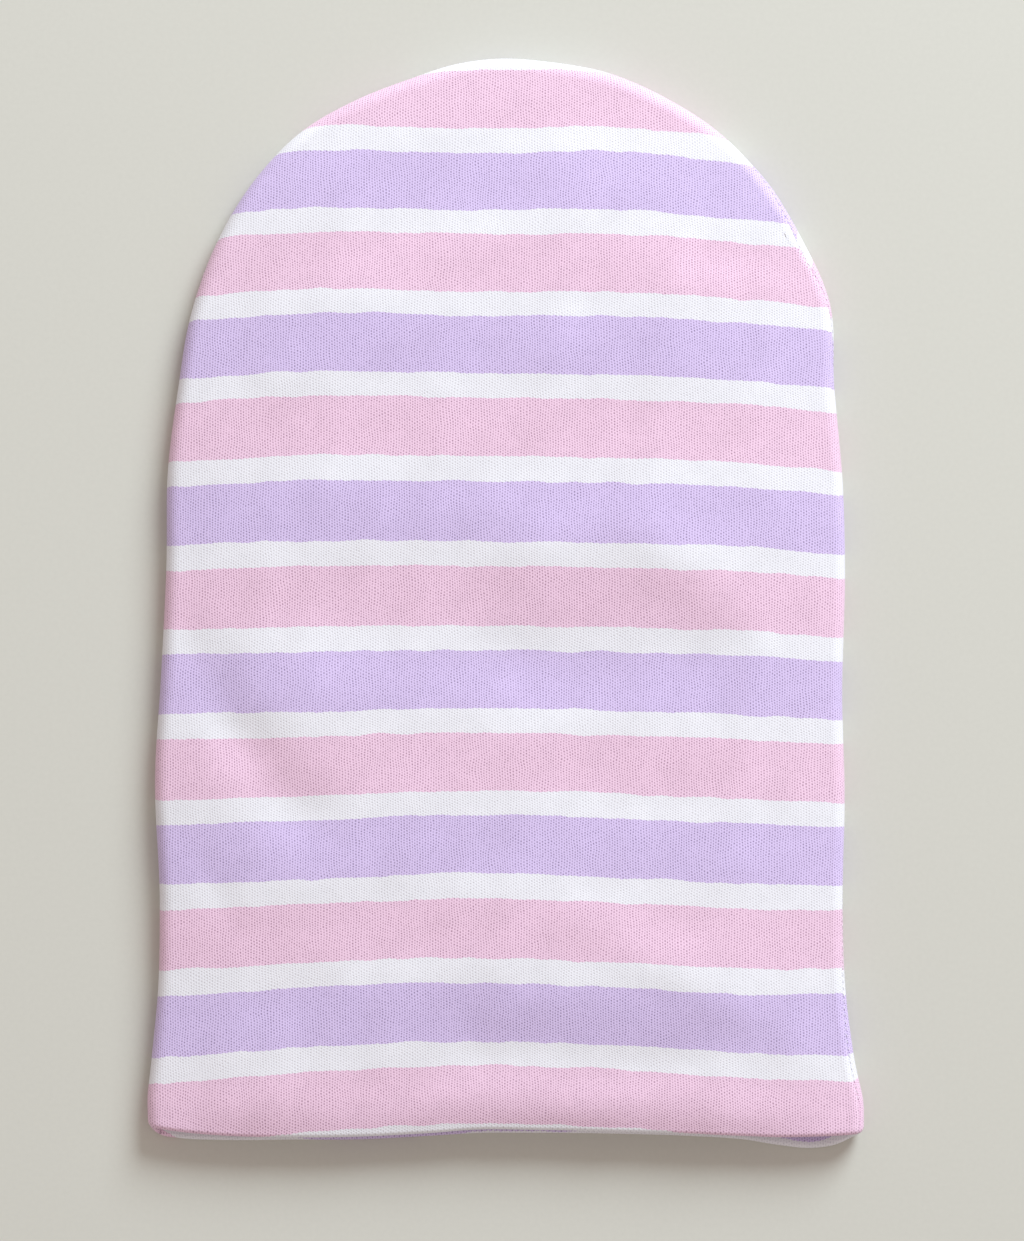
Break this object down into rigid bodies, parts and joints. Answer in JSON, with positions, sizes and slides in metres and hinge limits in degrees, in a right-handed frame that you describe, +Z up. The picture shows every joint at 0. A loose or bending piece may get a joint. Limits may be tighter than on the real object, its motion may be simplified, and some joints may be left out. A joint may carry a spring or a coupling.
{
  "type": "nightcap",
  "caption": "Soft striped nightcap of doubled fine cotton knit with a round crown and a plain folded rim, lying flat on its back with its mouth slightly open.",
  "frame": {"origin": "middle of the cap's length and width, on the surface that its back lies on", "axes": "+X across the cap to the right of someone looking down at its front, +Y from the rim to the crown, +Z up from the back to the front"},
  "size_m": [0.1718, 0.2614, 0.0107],
  "materials": {
    "front_knit": "matt striped interlock cotton knit in pink, white and lilac",
    "back_knit": "matt striped interlock cotton knit in pink, white and lilac"
  },
  "bodies": {
    "root": {"front_panel": "front_knit", "back_panel": "back_knit"}
  },
  "joints": []
}
